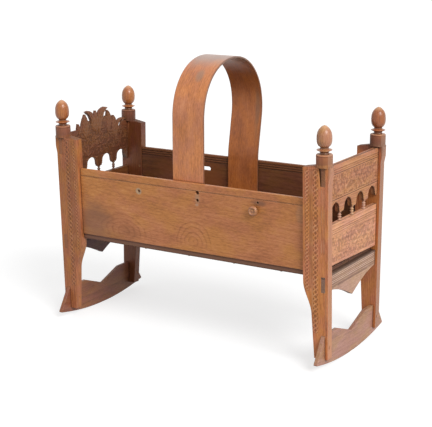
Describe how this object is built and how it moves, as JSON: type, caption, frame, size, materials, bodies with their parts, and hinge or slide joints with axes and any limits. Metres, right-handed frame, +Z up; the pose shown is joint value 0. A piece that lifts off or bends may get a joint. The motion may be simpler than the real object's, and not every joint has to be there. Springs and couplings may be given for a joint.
{
  "type": "rocking cradle",
  "caption": "Rocking cradle: a boarded wooden box between carved end frames on curved rockers, with acorn finials, a leaf-carved crest and a bent hoop to hold up a cover.",
  "frame": {"origin": "on the floor, under the middle of the bounding box, halfway between the two rockers", "axes": "+Z up; +X along the cradle towards the foot end; +Y across it towards the rear side board; the lacing knob is on the -Y side and the leaf-carved crest at -X"},
  "size_m": [0.946, 0.432, 0.8369],
  "materials": {
    "post_oak": "waxed, reddish brown, carved",
    "finial_oak": "polished by hands, orange brown",
    "front_board_oak": "waxed, orange tan, arched grain",
    "rear_board_oak": "waxed, dark brown",
    "crest_oak": "waxed, dark brown, leaf carved",
    "carved_oak": "waxed, carved all over, lighter tops",
    "spindle_oak": "turned, pale",
    "rocker_oak": "waxed, worn lighter at the edges",
    "floor_oak": "dark, unpolished",
    "hoop_wood": "bent strap, satin, pinkish brown",
    "peg_wood": "end grain, darker than the oak round it",
    "nail_iron": "dark forged iron"
  },
  "bodies": {
    "root": {"head_front_post": "post_oak", "head_rear_post": "post_oak", "foot_front_post": "post_oak", "foot_rear_post": "post_oak", "head_front_finial": "finial_oak", "head_rear_finial": "finial_oak", "foot_front_finial": "finial_oak", "foot_rear_finial": "finial_oak", "front_side_board": "front_board_oak", "rear_side_board": "rear_board_oak", "head_crest_board": "crest_oak", "foot_frieze_board": "carved_oak", "head_lower_panel": "carved_oak", "foot_lower_panel": "carved_oak", "head_apron": "carved_oak", "foot_apron": "carved_oak", "head_spindle_1": "spindle_oak", "head_spindle_2": "spindle_oak", "head_spindle_3": "spindle_oak", "foot_spindle_1": "spindle_oak", "foot_spindle_2": "spindle_oak", "foot_spindle_3": "spindle_oak", "head_rocker": "rocker_oak", "foot_rocker": "rocker_oak", "front_floor_board": "floor_oak", "rear_floor_board": "floor_oak", "head_floor_cleat": "floor_oak", "foot_floor_cleat": "floor_oak", "hoop": "hoop_wood", "lacing_knob": "finial_oak", "head_tenon_wedges": "peg_wood", "foot_tenon_wedges": "peg_wood", "head_rocker_pegs": "peg_wood", "foot_rocker_pegs": "peg_wood", "side_board_pegs": "peg_wood", "hoop_nails": "nail_iron", "floor_nails": "nail_iron", "cleat_nails": "nail_iron"}
  },
  "joints": []
}
